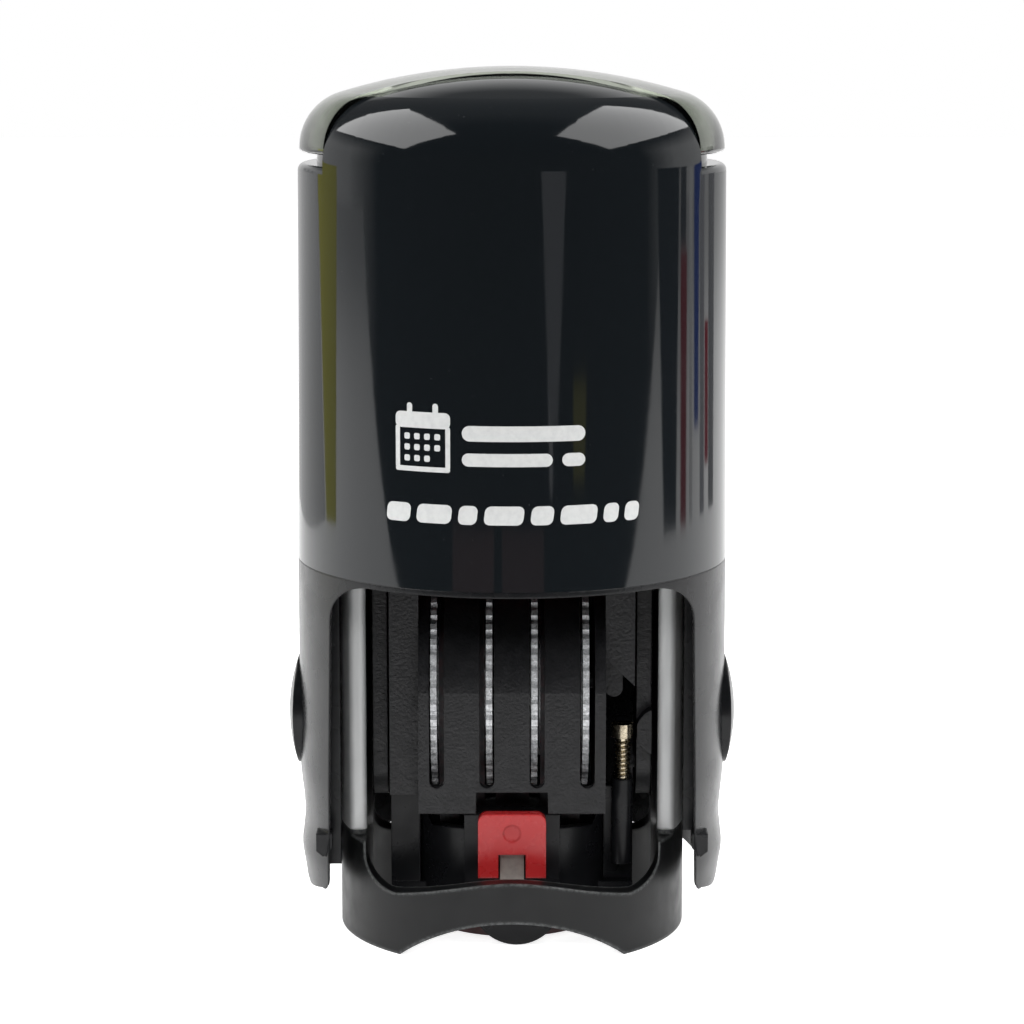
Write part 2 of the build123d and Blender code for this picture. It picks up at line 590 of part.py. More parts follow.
# name, disc centre, drum from x, drum to x
WHEELS = (
    ("day_tens", -6.85, -6.85, -4.5),
    ("day_units", -2.0, -4.35, -2.0),
    ("month", 1.96, -1.6, 1.96),
    ("year", 6.46, 2.35, 6.46),
)
for name, disc_x, drum_x0, drum_x1 in WHEELS:
    with BuildPart() as date_wheel:
        with BuildSketch(Plane.YZ.offset(disc_x - DISC_THICK / 2)):
            Polygon(*rim_points(), align=None)
        extrude(amount=DISC_THICK)
        with BuildSketch(Plane.YZ.offset(drum_x0)):
            with Locations((0, WHEEL_Z)):
                Circle(DRUM_R)
        extrude(amount=drum_x1 - drum_x0)
        with BuildSketch(Plane.YZ.offset(-CAGE_HALF_X)):
            with Locations((0, WHEEL_Z)):
                Circle(AXLE_R + RUN_FIT)
        extrude(amount=2 * CAGE_HALF_X, mode=Mode.SUBTRACT)
    date_wheel.part.label = f"{name}_wheel"
    export_step(date_wheel.part, f"parts/{name}_wheel.step")

    band_x0 = max(drum_x0, disc_x + DISC_THICK / 2) if drum_x0 >= disc_x else drum_x0
    band_x1 = drum_x1 if drum_x0 >= disc_x else disc_x - DISC_THICK / 2
    with BuildPart() as date_band:
        with BuildSketch(Plane.YZ.offset(band_x0 + 0.15)):
            with Locations((0, WHEEL_Z)):
                Circle(DRUM_R + BAND_PLAY + BAND_THICK)
            with Locations((0, NOSE_Z)):
                Circle(NOSE_R + 0.1 + BAND_THICK)
            make_hull()
        extrude(amount=band_x1 - band_x0 - 0.3)
        with BuildSketch(Plane.YZ.offset(band_x0)):
            with Locations((0, WHEEL_Z)):
                Circle(DRUM_R + BAND_PLAY)
            with Locations((0, NOSE_Z)):
                Circle(NOSE_R + 0.1)
            make_hull()
        extrude(amount=band_x1 - band_x0, mode=Mode.SUBTRACT)
    date_band.part.label = f"{name}_band"
    export_step(date_band.part, f"parts/{name}_band.step")

for side, name in ((-1, "pivot_plate_left"), (1, "pivot_plate_right")):
    front_y = -4.5 if side < 0 else -3.6
    plate_x = sided(side, PLATE_X)
    with BuildPart() as pivot_plate:
        block(plate_x, (front_y, 4.5), (HOLDER_Z[1], PIVOT_Z))
        with BuildSketch(Plane.YZ.offset(plate_x[0])):
            with Locations((0, PIVOT_Z)):
                Circle(YOKE_HALF)
        extrude(amount=PLATE_X[1] - PLATE_X[0])
        # foot against the cage's side, with a web across its front
        block(sided(side, (CAGE_HALF_X, PLATE_X[0])), (-3.0, 4.5), (HOLDER_Z[1], 9.0))
        block(sided(side, (CAGE_HALF_X, PLATE_X[1])), (front_y, front_y + 1.2), (HOLDER_Z[1], 13.0))
        if side > 0:
            # post and top bracket for the adjusting screw
            with BuildSketch(Plane.XY.offset(HOLDER_Z[1] + 2)):
                with Locations(SCREW_AT):
                    Circle(0.95)
            extrude(amount=POST_TOP_Z - HOLDER_Z[1] - 2)
            block((9.0, 10.7), (-5.0, -3.0), (HOLDER_Z[1] + 2, POST_TOP_Z))
        with BuildSketch(Plane.YZ.offset(plate_x[0])):
            with Locations((0, PIVOT_Z)):
                Circle(PIVOT_PIN_R + RUN_FIT)
        extrude(amount=PLATE_X[1] - PLATE_X[0], mode=Mode.SUBTRACT)
        if side > 0:
            with BuildSketch(Plane.XY.offset(POST_TOP_Z - 2)):
                with Locations(SCREW_AT):
                    Circle(0.58)
            extrude(amount=2, mode=Mode.SUBTRACT)
    pivot_plate.part.label = name
    export_step(pivot_plate.part, f"parts/{name}.step")

with BuildPart() as adjusting_screw:
    with BuildSketch(Plane.XY.offset(POST_TOP_Z - 2)):
        with Locations(SCREW_AT):
            Circle(0.58)
    extrude(amount=SCREW_HEAD_Z[0] - POST_TOP_Z + 2)
    with BuildSketch(Plane.XY.offset(SCREW_HEAD_Z[0])):
        with Locations(SCREW_AT):
            Circle(0.95)
    extrude(amount=SCREW_HEAD_Z[1] - SCREW_HEAD_Z[0])
    with BuildSketch(Plane.XY.offset(SCREW_HEAD_Z[1] - 0.4)):
        with Locations(SCREW_AT):
            Rectangle(2.0, 0.3)
    extrude(amount=0.4, mode=Mode.SUBTRACT)
adjusting_screw.part.label = "adjusting_screw"
export_step(adjusting_screw.part, "parts/adjusting_screw.step")

with BuildPart() as screw_bracket:
    # tab on the cage's right side, its rounded end above the screw's head
    with BuildSketch(Plane.XZ.offset(3.9)):
        with Locations((CAGE_HALF_X + 0.8, 24.9)):
            Rectangle(1.6, 5.0)
        with Locations((CAGE_HALF_X + 0.8, 22.4)):
            Circle(0.8)
    extrude(amount=1.6)
screw_bracket.part.label = "screw_bracket"
export_step(screw_bracket.part, "parts/screw_bracket.step")

with BuildPart() as latch_leaf:
    block((-1.05, 1.05), (-9.3, -9.0), (4.8, 8.3))
latch_leaf.part.label = "latch_leaf"
export_step(latch_leaf.part, "parts/latch_leaf.step")

with BuildPart() as catch_tab:
    with BuildSketch(Plane.XZ.offset(-CATCH_Y[1])):
        with Locations((0, (CATCH_Z[0] + CATCH_Z[1]) / 2)):
            Rectangle(2 * CATCH_HALF, CATCH_Z[1] - CATCH_Z[0])
        fillet(vertices().group_by(Axis.Y)[-1], radius=0.8)
        with Locations((0, CATCH_Z[0])):
            Rectangle(2 * NOTCH_HALF, 2 * (NOTCH_TOP_Z - CATCH_Z[0]), mode=Mode.SUBTRACT)
    extrude(amount=CATCH_Y[1] - CATCH_Y[0])
    with BuildSketch(Plane.XZ.offset(-CATCH_Y[0] - 0.15)):
        with Locations((0, 10.4)):
            Circle(0.75)
    extrude(amount=0.15, mode=Mode.SUBTRACT)
catch_tab.part.label = "catch_tab"
export_step(catch_tab.part, "parts/catch_tab.step")
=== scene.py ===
"""Looks of the rotary date stamp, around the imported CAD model. Everything is in metres."""
from math import cos, pi, radians, sin, sqrt

import bmesh
import bpy
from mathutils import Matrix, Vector


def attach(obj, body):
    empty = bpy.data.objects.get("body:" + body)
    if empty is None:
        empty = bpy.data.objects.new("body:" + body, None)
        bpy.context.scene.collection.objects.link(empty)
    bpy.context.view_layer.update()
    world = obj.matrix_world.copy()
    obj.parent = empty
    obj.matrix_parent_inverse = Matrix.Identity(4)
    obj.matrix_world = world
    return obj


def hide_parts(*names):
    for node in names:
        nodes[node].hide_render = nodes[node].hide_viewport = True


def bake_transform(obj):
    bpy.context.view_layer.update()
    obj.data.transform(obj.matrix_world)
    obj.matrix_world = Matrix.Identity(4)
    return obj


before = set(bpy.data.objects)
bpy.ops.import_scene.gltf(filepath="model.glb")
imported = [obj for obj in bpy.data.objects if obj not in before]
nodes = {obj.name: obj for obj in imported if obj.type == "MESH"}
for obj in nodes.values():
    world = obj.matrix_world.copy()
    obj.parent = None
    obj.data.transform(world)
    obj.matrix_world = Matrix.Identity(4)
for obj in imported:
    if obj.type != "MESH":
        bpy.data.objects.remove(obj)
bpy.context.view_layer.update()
MM = 0.001


# ---- Building blocks -------------------------------------------------------------------------

def add_object(name, data):
    made = bpy.data.objects.new(name, data)
    bpy.context.scene.collection.objects.link(made)
    return made


def add_node(tree, kind, **values):
    made = tree.nodes.new(kind)
    for key, value in values.items():
        setattr(made, key, value)
    return made


def remap(tree, source, low, high, to_low=0.0, to_high=1.0):
    """Output that runs from to_low to to_high while the source runs from low to high."""
    ramp = add_node(tree, "ShaderNodeMapRange")
    limits = {"From Min": low, "From Max": high, "To Min": to_low, "To Max": to_high}
    for socket, value in limits.items():
        ramp.inputs[socket].default_value = value
    tree.links.new(source, ramp.inputs["Value"])
    return ramp.outputs["Result"]


def product(tree, first, second):
    times = add_node(tree, "ShaderNodeMath", operation="MULTIPLY")
    tree.links.new(first, times.inputs[0])
    tree.links.new(second, times.inputs[1])
    return times.outputs["Value"]


class Shader:
    """A Principled material with object-space textures that are added one call at a time."""

    def __init__(self, name, colour, rough, metallic=0.0, ior=1.5, specular=0.5):
        self.mat = bpy.data.materials.new(name)
        self.mat.use_nodes = True
        self.tree = self.mat.node_tree
        self.bsdf = self.tree.nodes["Principled BSDF"]
        self.put("Base Color", (*colour, 1.0))
        self.put("Roughness", rough)
        self.put("Metallic", metallic)
        self.put("IOR", ior)
        self.put("Specular IOR Level", specular)
        self.coords = self.tree.nodes.new("ShaderNodeTexCoord").outputs["Object"]
        self.colour, self.rough = colour, rough
        self.normal = None

    def put(self, socket, value):
        self.bsdf.inputs[socket].default_value = value

    def link(self, start, end):
        self.tree.links.new(start, end)

    def node(self, kind, **values):
        return add_node(self.tree, kind, **values)

    def remap(self, *how):
        return remap(self.tree, *how)

    def noise(self, size, detail=2.0, stretch=(1, 1, 1), roughness=0.5):
        """Noise with features about size metres across, drawn out along an axis by stretch."""
        mapping = self.node("ShaderNodeMapping")
        mapping.inputs["Scale"].default_value = [1 / (size * s) for s in stretch]
        self.link(self.coords, mapping.inputs["Vector"])
        noise = self.node("ShaderNodeTexNoise")
        noise.inputs["Scale"].default_value = 1.0
        noise.inputs["Detail"].default_value = detail
        noise.inputs["Roughness"].default_value = roughness
        self.link(mapping.outputs["Vector"], noise.inputs["Vector"])
        return noise.outputs["Fac"]

    def mix_colour(self, factor, other):
        """Mixes the base colour so far towards another one by a factor output."""
        mix = self.node("ShaderNodeMix", data_type="RGBA")
        socket = self.bsdf.inputs["Base Color"]
        if socket.is_linked:
            self.link(socket.links[0].from_socket, mix.inputs["A"])
        else:
            mix.inputs["A"].default_value = (*self.colour, 1.0)
        mix.inputs["B"].default_value = (*other, 1.0)
        self.link(factor, mix.inputs["Factor"])
        self.link(mix.outputs["Result"], socket)

    def vary_rough(self, size, spread, **how):
        """Roughness that wanders by spread either way."""
        value = self.remap(self.noise(size, **how), 0.3, 0.7, self.rough - spread, self.rough + spread)
        self.link(value, self.bsdf.inputs["Roughness"])

    def mottle(self, size, other, amount=0.5, **how):
        """Blotches of another colour."""
        self.mix_colour(self.remap(self.noise(size, **how), 0.4, 0.75, 0.0, amount), other)

    def grain(self, size, depth, strength=1.0, **how):
        """Fine relief of that size and depth, on top of the relief so far; returns the shader."""
        bump = self.node("ShaderNodeBump")
        bump.inputs["Strength"].default_value = strength
        bump.inputs["Distance"].default_value = depth
        self.link(self.noise(size, **how), bump.inputs["Height"])
        if self.normal is not None:
            self.link(self.normal, bump.inputs["Normal"])
        self.normal = bump.outputs["Normal"]
        self.link(self.normal, self.bsdf.inputs["Normal"])
        return self

    def soft_edges(self, radius):
        """Shades edges as if they were rounded; call it before grain()."""
        bevel = self.node("ShaderNodeBevel")
        bevel.inputs["Radius"].default_value = radius
        self.normal = bevel.outputs["Normal"]
        self.link(self.normal, self.bsdf.inputs["Normal"])

    def specks(self, size, share, other):
        """Sparse dust or scuff specks."""
        fine = self.remap(self.noise(size, detail=0.0), 1 - share, 1 - share * 0.85)
        self.mix_colour(fine, other)

    def edge_wear_and_highlight(self, radius, other, amount, size):
        """Lighter edges, broken up by noise: partly rubbed wear, partly a painted highlight where the
        rounded edges would catch light.
        """
        bevel = self.node("ShaderNodeBevel", samples=6)
        bevel.inputs["Radius"].default_value = radius
        geometry = self.node("ShaderNodeNewGeometry")
        dot = self.node("ShaderNodeVectorMath", operation="DOT_PRODUCT")
        self.link(bevel.outputs["Normal"], dot.inputs[0])
        self.link(geometry.outputs["Normal"], dot.inputs[1])
        edge = self.remap(dot.outputs["Value"], 0.98, 0.86)
        broken = self.remap(self.noise(size, detail=4.0), 0.35, 0.62, 0.25, 1.0)
        rubbed_and_lit = product(self.tree, edge, broken)
        self.mix_colour(self.remap(rubbed_and_lit, 0.0, 1.0, 0.0, amount), other)


def paint(shader, *names):
    """Gives CAD nodes one material."""
    for name in names:
        mesh = nodes[name].data
        mesh.materials.clear()
        mesh.materials.append(shader.mat)


# ---- Materials -------------------------------------------------------------------------------

def gloss_black():
    shader = Shader("gloss_black", (0.008, 0.0102, 0.0122), 0.06)
    shader.vary_rough(6 * MM, 0.02)
    shader.specks(0.16 * MM, 0.13, (0.05, 0.052, 0.055))
    return shader.grain(2.5 * MM, 0.004 * MM, 0.5)


def satin_black():
    shader = Shader("satin_black", (0.0075, 0.008, 0.009), 0.26, specular=0.28)
    shader.soft_edges(0.25 * MM)
    shader.vary_rough(3 * MM, 0.04)
    shader.mottle(1.2 * MM, (0.015, 0.015, 0.017), 0.5)
    return shader.grain(0.12 * MM, 0.004 * MM, 0.6)


def frame_black():
    shader = Shader("frame_black", (0.0062, 0.0066, 0.007), 0.36, specular=0.3)
    # lighter rim edges: partly rubbed wear, partly a painted highlight on the rounded edges
    shader.edge_wear_and_highlight(0.6 * MM, (0.24, 0.25, 0.25), 0.6, 0.3 * MM)
    shader.soft_edges(0.4 * MM)
    shader.vary_rough(2 * MM, 0.06)
    return shader.grain(0.14 * MM, 0.008 * MM, 0.6)


def block_black():
    shader = Shader("block_black", (0.0078, 0.008, 0.009), 0.40, specular=0.4)
    shader.soft_edges(0.15 * MM)
    shader.vary_rough(1 * MM, 0.07)
    shader.mottle(0.8 * MM, (0.016, 0.016, 0.018), 0.6)
    return shader.grain(0.28 * MM, 0.05 * MM, 0.9, detail=3.0)


def inner_black():
    shader = Shader("inner_black", (0.0075, 0.0078, 0.009), 0.3, specular=0.25)
    shader.soft_edges(0.2 * MM)
    shader.vary_rough(2 * MM, 0.05)
    return shader.grain(0.5 * MM, 0.006 * MM, 0.6)


COVER_BEND = (10 * MM, 14.5 * MM)       # sideways, where the clear cover begins to turn down
COVER_END = (16.6 * MM, 18.3 * MM)      # and where it ends


def smoke_clear():
    shader = Shader("smoke_clear", (0.52, 0.55, 0.48), 0.06, ior=1.49)
    shader.put("Transmission Weight", 1.0)
    # deeper smoke in the turned-down ends
    split = shader.node("ShaderNodeSeparateXYZ")
    shader.link(shader.coords, split.inputs[0])
    sideways = shader.node("ShaderNodeMath", operation="ABSOLUTE")
    shader.link(split.outputs["X"], sideways.inputs[0])
    bent = shader.remap(sideways.outputs["Value"], *COVER_BEND)
    inside = shader.remap(sideways.outputs["Value"], *COVER_END, 1.0, 0.1)
    shader.mix_colour(product(shader.tree, bent, inside), (0.25, 0.28, 0.22))
    shader.vary_rough(4 * MM, 0.02)
    return shader.grain(3 * MM, 0.004 * MM, 0.5)


def satin_silver():
    shader = Shader("satin_silver", (0.66, 0.67, 0.67), 0.55, metallic=0.4)
    shader.soft_edges(0.3 * MM)
    shader.vary_rough(1.5 * MM, 0.05, stretch=(1, 1, 12))
    shader.mottle(2 * MM, (0.38, 0.38, 0.39), 0.4, stretch=(1, 1, 5))
    return shader.grain(0.15 * MM, 0.004 * MM, 0.5)


def bright_steel():
    shader = Shader("bright_steel", (0.62, 0.61, 0.58), 0.22, metallic=1.0)
    shader.vary_rough(0.8 * MM, 0.08)
    shader.mottle(0.6 * MM, (0.35, 0.33, 0.30), 0.6)
    return shader.grain(0.2 * MM, 0.01 * MM, 0.5)


def leaf_nickel():
    shader = Shader("leaf_nickel", (0.40, 0.36, 0.33), 0.46, metallic=0.45)
    shader.mottle(0.5 * MM, (0.27, 0.24, 0.22), 0.6)
    return shader.grain(0.15 * MM, 0.01 * MM, 0.6)


def nickel_brass():
    shader = Shader("nickel_brass", (0.60, 0.53, 0.40), 0.24, metallic=1.0)
    shader.soft_edges(0.05 * MM)
    shader.vary_rough(0.5 * MM, 0.08)
    shader.mottle(0.4 * MM, (0.25, 0.2, 0.13), 0.7)
    return shader.grain(0.1 * MM, 0.01 * MM, 0.6)


def wheel_grey():
    shader = Shader("wheel_grey", (0.42, 0.43, 0.44), 0.32, metallic=0.25)
    shader.soft_edges(0.05 * MM)
    shader.mottle(0.25 * MM, (0.85, 0.86, 0.88), 0.8, detail=3.0)
    shader.vary_rough(0.3 * MM, 0.1)
    return shader.grain(0.1 * MM, 0.03 * MM, 0.8, detail=3.0)


def band_rubber():
    shader = Shader("band_rubber", (0.020, 0.020, 0.022), 0.62)
    shader.mottle(0.6 * MM, (0.05, 0.02, 0.022), 0.6)
    shader.vary_rough(0.7 * MM, 0.08)
    return shader.grain(0.12 * MM, 0.015 * MM, 0.7)


def die_rubber():
    shader = Shader("die_rubber", (0.055, 0.010, 0.011), 0.5)
    shader.mottle(0.8 * MM, (0.022, 0.006, 0.007), 0.8)
    shader.vary_rough(0.7 * MM, 0.1)
    return shader.grain(0.12 * MM, 0.015 * MM, 0.7)


def ink_felt():
    shader = Shader("ink_felt", (0.22, 0.012, 0.016), 0.75)
    shader.put("Sheen Weight", 0.3)
    shader.mottle(0.7 * MM, (0.09, 0.004, 0.006), 0.8, detail=4.0)
    return shader.grain(0.18 * MM, 0.06 * MM, 0.9, detail=4.0)


def catch_red():
    shader = Shader("catch_red", (0.48, 0.024, 0.026), 0.28)
    shader.put("Subsurface Weight", 0.12)
    shader.put("Subsurface Scale", 0.6 * MM)
    shader.put("Subsurface Radius", (1.0, 0.25, 0.2))
    shader.soft_edges(0.25 * MM)
    shader.vary_rough(1.2 * MM, 0.05)
    shader.mottle(1.5 * MM, (0.50, 0.025, 0.026), 0.3)
    return shader.grain(0.3 * MM, 0.006 * MM, 0.5)


def card_white():
    shader = Shader("card_white", (0.78, 0.78, 0.74), 0.7)
    shader.mottle(0.5 * MM, (0.70, 0.69, 0.64), 0.6, detail=4.0)
    return shader.grain(0.1 * MM, 0.01 * MM, 0.7)


def print_white():
    shader = Shader("print_white", (0.80, 0.81, 0.80), 0.45)
    shader.mottle(0.5 * MM, (0.66, 0.67, 0.67), 0.6, detail=3.0)
    return shader.grain(0.15 * MM, 0.004 * MM, 0.6)


def dress_frame():
    """Every CAD node's material, by what it is made of."""
    satin = satin_black()
    steel = bright_steel()
    block = block_black()
    inner = inner_black()
    rubber = band_rubber()
    wheel = wheel_grey()
    base = frame_black()
    paint(gloss_black(), "cap_shell")
    paint(satin, "cap_skirt")
    paint(satin, "lock_button_left", "lock_button_right")
    paint(inner, "die_holder", "pivot_pin_left", "pivot_pin_right", "wheel_axle")
    paint(inner, "pivot_plate_left", "pivot_plate_right")
    paint(base, "base_frame", "pad_holder", "pad_cartridge")
    paint(smoke_clear(), "top_cover")
    paint(card_white(), "index_card")
    paint(satin_silver(), "column_trim_left", "column_trim_right")
    paint(steel, "return_spring", "yoke_screws")
    paint(leaf_nickel(), "latch_leaf")
    paint(nickel_brass(), "adjusting_screw")
    paint(block, "band_cage", "band_nose", "screw_bracket", "yoke")
    paint(die_rubber(), "text_die")
    paint(ink_felt(), "ink_pad")
    paint(catch_red(), "catch_tab")
    for name in ("day_tens", "day_units", "month", "year"):
        paint(wheel, f"{name}_wheel")
        paint(rubber, f"{name}_band")


# ---- Studio ----------------------------------------------------------------------------------

CAMERA_AWAY = 267 * MM      # in front of the stamp's axis
CAMERA_HEIGHT = 82.3 * MM
CAMERA_PITCH = 9.58         # degrees below level
CAMERA_LENS = 106.5
TABLE_FRONT = -105 * MM     # front edge of the white table; past it the room is dark
TABLE_BACK = 1.6
TABLE_HALF = 1.2
CARDS_AWAY = 250 * MM       # from the stamp's axis to the first of the cards round the table
CARD_STEP = 0.5 * MM        # each card stands this much farther out than the one before
# How bright the room is: between these two directions, it goes from the third value to the fourth
ROOM_DEPTH = (-0.25, 0.12, 0.02, 0.85)      # from the front to the back
ROOM_HEIGHT = (0.30, 0.48, 1.0, 0.12)       # from level to overhead


def camera():
    data = bpy.data.cameras.new("camera")
    data.lens = CAMERA_LENS
    data.clip_start = 0.01
    made = add_object("camera", data)
    made.location = (0, -CAMERA_AWAY, CAMERA_HEIGHT)
    made.rotation_euler = (radians(90 - CAMERA_PITCH), 0, 0)
    bpy.context.scene.camera = made


def glow_card(name, corners, radiance):
    """A flat card that is only seen mirrored in the gloss."""
    mesh = bpy.data.meshes.new(name)
    mesh.from_pydata(corners, [], [(0, 1, 2, 3)])
    made = add_object(name, mesh)
    mat = bpy.data.materials.new(name)
    mat.use_nodes = True
    tree = mat.node_tree
    tree.nodes.clear()
    glow = add_node(tree, "ShaderNodeEmission")
    glow.inputs["Color"].default_value = (*radiance, 1.0)
    out = add_node(tree, "ShaderNodeOutputMaterial")
    tree.links.new(glow.outputs[0], out.inputs["Surface"])
    mesh.materials.append(mat)
    made.visible_camera = False
    made.visible_shadow = False
    made.visible_diffuse = False


# Things standing round the table: bearings of their two sides at the upper and at the lower edge, in
# degrees from the front towards the right, heights of the lower and upper edge in mm, and radiance
AROUND = (
    ("olive", (-125, -103), (-113, -104), -2, 72, (0.78, 0.74, 0.15)),
    ("wall_left", (-160, -126), (-160, -114), 0, 72, (0.80, 0.80, 0.80)),
    ("dark_post", (79, 97), (86, 93), -20, 72, (0.03, 0.03, 0.035)),
    ("red_slim", (97.5, 103), (97.5, 102), -10, 45, (0.42, 0.04, 0.055)),
    ("grey_slim", (97.5, 103), (97.5, 102), 45.5, 72, (0.10, 0.10, 0.11)),
    ("pale_slim", (105, 108), (105, 108), -20, 60, (1.0, 1.0, 1.0)),
    ("navy", (109.5, 115), (109.5, 114), 15, 72, (0.05, 0.10, 0.48)),
    ("grey_side", (115.5, 120.5), (115.5, 120), -20, 72, (0.45, 0.45, 0.48)),
    ("red_short", (121, 125), (121, 125), 8, 32, (0.45, 0.03, 0.05)),
    ("dark_far", (125.5, 134), (125.5, 132), -20, 72, (0.30, 0.30, 0.31)),
    ("yellow_spot", (31, 38), (31, 37), 10, 26, (0.36, 0.33, 0.07)),
    ("brown_left", (-30, -9), (-30, -9), -14, 3, (0.22, 0.13, 0.125)),
    ("brown_right", (-5, 16), (-5, 16), -14, 3, (0.20, 0.12, 0.115)),
    ("lamp_wide", (13, 29), (19, 23), 18, 76, (0.42, 0.42, 0.44)),
    ("lamp_core", (15, 20), (19, 20.5), 8, 77, (0.75, 0.75, 0.78)),
)


def surroundings():
    for index, (name, upper, lower, low, high, radiance) in enumerate(AROUND):
        away = CARDS_AWAY + index * CARD_STEP
        corners = []
        for turn, z in ((lower[0], low), (lower[1], low), (upper[1], high), (upper[0], high)):
            corners.append((away * sin(radians(turn)), -away * cos(radians(turn)), z * MM))
        glow_card(name, corners, radiance)


# Softboxes: place, width and height in metres, watts, and whether the gloss mirrors them
SOFTBOXES = (
    ("top_left", (-0.405, 0.02, 0.50), 0.66, 0.38, 3.0, True),
    ("top_right", (0.36, 0.02, 0.50), 0.78, 0.38, 3.2, True),
    ("front_fill", (0.0, -0.80, 0.50), 0.6, 0.2, 3.0, False),
)
SOFTBOX_AIM = Vector((0, 0, 40 * MM))


def softbox(name, place, width, height, watts, mirrored):
    data = bpy.data.lights.new(name, "AREA")
    data.shape = "RECTANGLE"
    data.size = width
    data.size_y = height
    data.energy = watts
    made = add_object(name, data)
    made.visible_glossy = mirrored
    made.location = place
    made.rotation_euler = (SOFTBOX_AIM - Vector(place)).to_track_quat("-Z", "Y").to_euler()


def room():
    """White behind the stamp and for the camera, dark in front of it and overhead."""
    world = bpy.data.worlds.new("room")
    bpy.context.scene.world = world
    world.use_nodes = True
    tree = world.node_tree
    tree.nodes.clear()
    coords = add_node(tree, "ShaderNodeTexCoord")
    split = add_node(tree, "ShaderNodeSeparateXYZ")
    tree.links.new(coords.outputs["Generated"], split.inputs[0])
    walls = remap(tree, split.outputs["Y"], *ROOM_DEPTH)
    ceiling = remap(tree, split.outputs["Z"], *ROOM_HEIGHT)
    path = add_node(tree, "ShaderNodeLightPath")
    seen = add_node(tree, "ShaderNodeMix")
    seen.inputs["B"].default_value = 1.0
    tree.links.new(path.outputs["Is Camera Ray"], seen.inputs["Factor"])
    tree.links.new(product(tree, walls, ceiling), seen.inputs["A"])
    back = add_node(tree, "ShaderNodeBackground")
    back.inputs["Color"].default_value = (1, 1, 1, 1)
    tree.links.new(seen.outputs["Result"], back.inputs["Strength"])
    out = add_node(tree, "ShaderNodeOutputWorld")
    tree.links.new(back.outputs[0], out.inputs["Surface"])


def table_white():
    """Glowing white, brighter for the camera, and see-through from below to show the underside."""
    mat = bpy.data.materials.new("table_white")
    mat.use_nodes = True
    tree = mat.node_tree
    bsdf = tree.nodes["Principled BSDF"]
    bsdf.inputs["Base Color"].default_value = (0.9, 0.9, 0.9, 1)
    bsdf.inputs["Roughness"].default_value = 0.9
    bsdf.inputs["Emission Color"].default_value = (1, 1, 1, 1)
    facing = add_node(tree, "ShaderNodeNewGeometry")
    path = add_node(tree, "ShaderNodeLightPath")
    glow = remap(tree, path.outputs["Is Camera Ray"], 0, 1, 0.5, 0.85)
    tree.links.new(glow, bsdf.inputs["Emission Strength"])
    from_below = product(tree, facing.outputs["Backfacing"], path.outputs["Is Camera Ray"])
    clear = add_node(tree, "ShaderNodeBsdfTransparent")
    either = add_node(tree, "ShaderNodeMixShader")
    tree.links.new(from_below, either.inputs["Fac"])
    tree.links.new(bsdf.outputs["BSDF"], either.inputs[1])
    tree.links.new(clear.outputs["BSDF"], either.inputs[2])
    tree.links.new(either.outputs["Shader"], tree.nodes["Material Output"].inputs["Surface"])
    return mat


def table_top():
    corners = [(-TABLE_HALF, TABLE_FRONT, 0), (TABLE_HALF, TABLE_FRONT, 0),
               (TABLE_HALF, TABLE_BACK, 0), (-TABLE_HALF, TABLE_BACK, 0)]
    mesh = bpy.data.meshes.new("table_top")
    mesh.from_pydata(corners, [], [(0, 1, 2, 3)])
    mesh.materials.append(table_white())
    add_object("table_top", mesh)


def studio():
    bpy.context.scene.view_settings.view_transform = "Standard"
    camera()
    room()
    table_top()
    surroundings()
    for lamp in SOFTBOXES:
        softbox(*lamp)


# ---- Pieces made here ------------------------------------------------------------------------

def piece_from(name, bm, material, smooth=False):
    """A piece made of a bmesh's closed shells, with all its faces turned outwards."""
    bmesh.ops.recalc_face_normals(bm, faces=bm.faces)
    mesh = bpy.data.meshes.new(name)
    bm.normal_update()
    bm.to_mesh(mesh)
    bm.free()
    for face in mesh.polygons:
        face.use_smooth = smooth
    mesh.materials.append(material)
    return add_object(name, mesh)


def join_ring(bm, ring, after):
    """Faces between two rings of as many points."""
    for side in range(len(ring)):
        turned = (side + 1) % len(ring)
        bm.faces.new((ring[side], ring[turned], after[turned], after[side]))


def tube(name, path, radius, sides, material):
    """A round wire along a list of points, closed at both ends."""
    bm = bmesh.new()
    rings = []
    for index, point in enumerate(path):
        along = (path[min(index + 1, len(path) - 1)] - path[max(index - 1, 0)]).normalized()
        out = Vector((point.x, point.y, 0)).normalized()
        across = along.cross(out).normalized()
        out = across.cross(along)
        rings.append([bm.verts.new(point + radius * (out * cos(turn) + across * sin(turn)))
                      for turn in (2 * pi * side / sides for side in range(sides))])
    for ring, after in zip(rings, rings[1:]):
        join_ring(bm, ring, after)
    bm.faces.new(rings[0])
    bm.faces.new(rings[-1][::-1])
    return piece_from(name, bm, material, smooth=True)


SPRING_LOW = 62.45 * MM
SPRING_HIGH = 69.25 * MM
SPRING_R = 5.0 * MM
SPRING_WIRE_R = 0.38 * MM
SPRING_TURNS = 6
SPRING_STEPS = 40           # in one turn
CLOSED_TURNS = 0.9          # nearly flat, at each end
CLOSED_RISE = 0.05          # share of the height that the turns at one end take


def spring_rise(turn):
    """Share of the spring's height reached after so many turns."""
    first = min(turn, CLOSED_TURNS) / CLOSED_TURNS
    lead = min(max((turn - CLOSED_TURNS) / (SPRING_TURNS - 2 * CLOSED_TURNS), 0), 1)
    last = max(0, turn - SPRING_TURNS + CLOSED_TURNS) / CLOSED_TURNS
    return CLOSED_RISE * first + (1 - 2 * CLOSED_RISE) * lead + CLOSED_RISE * last


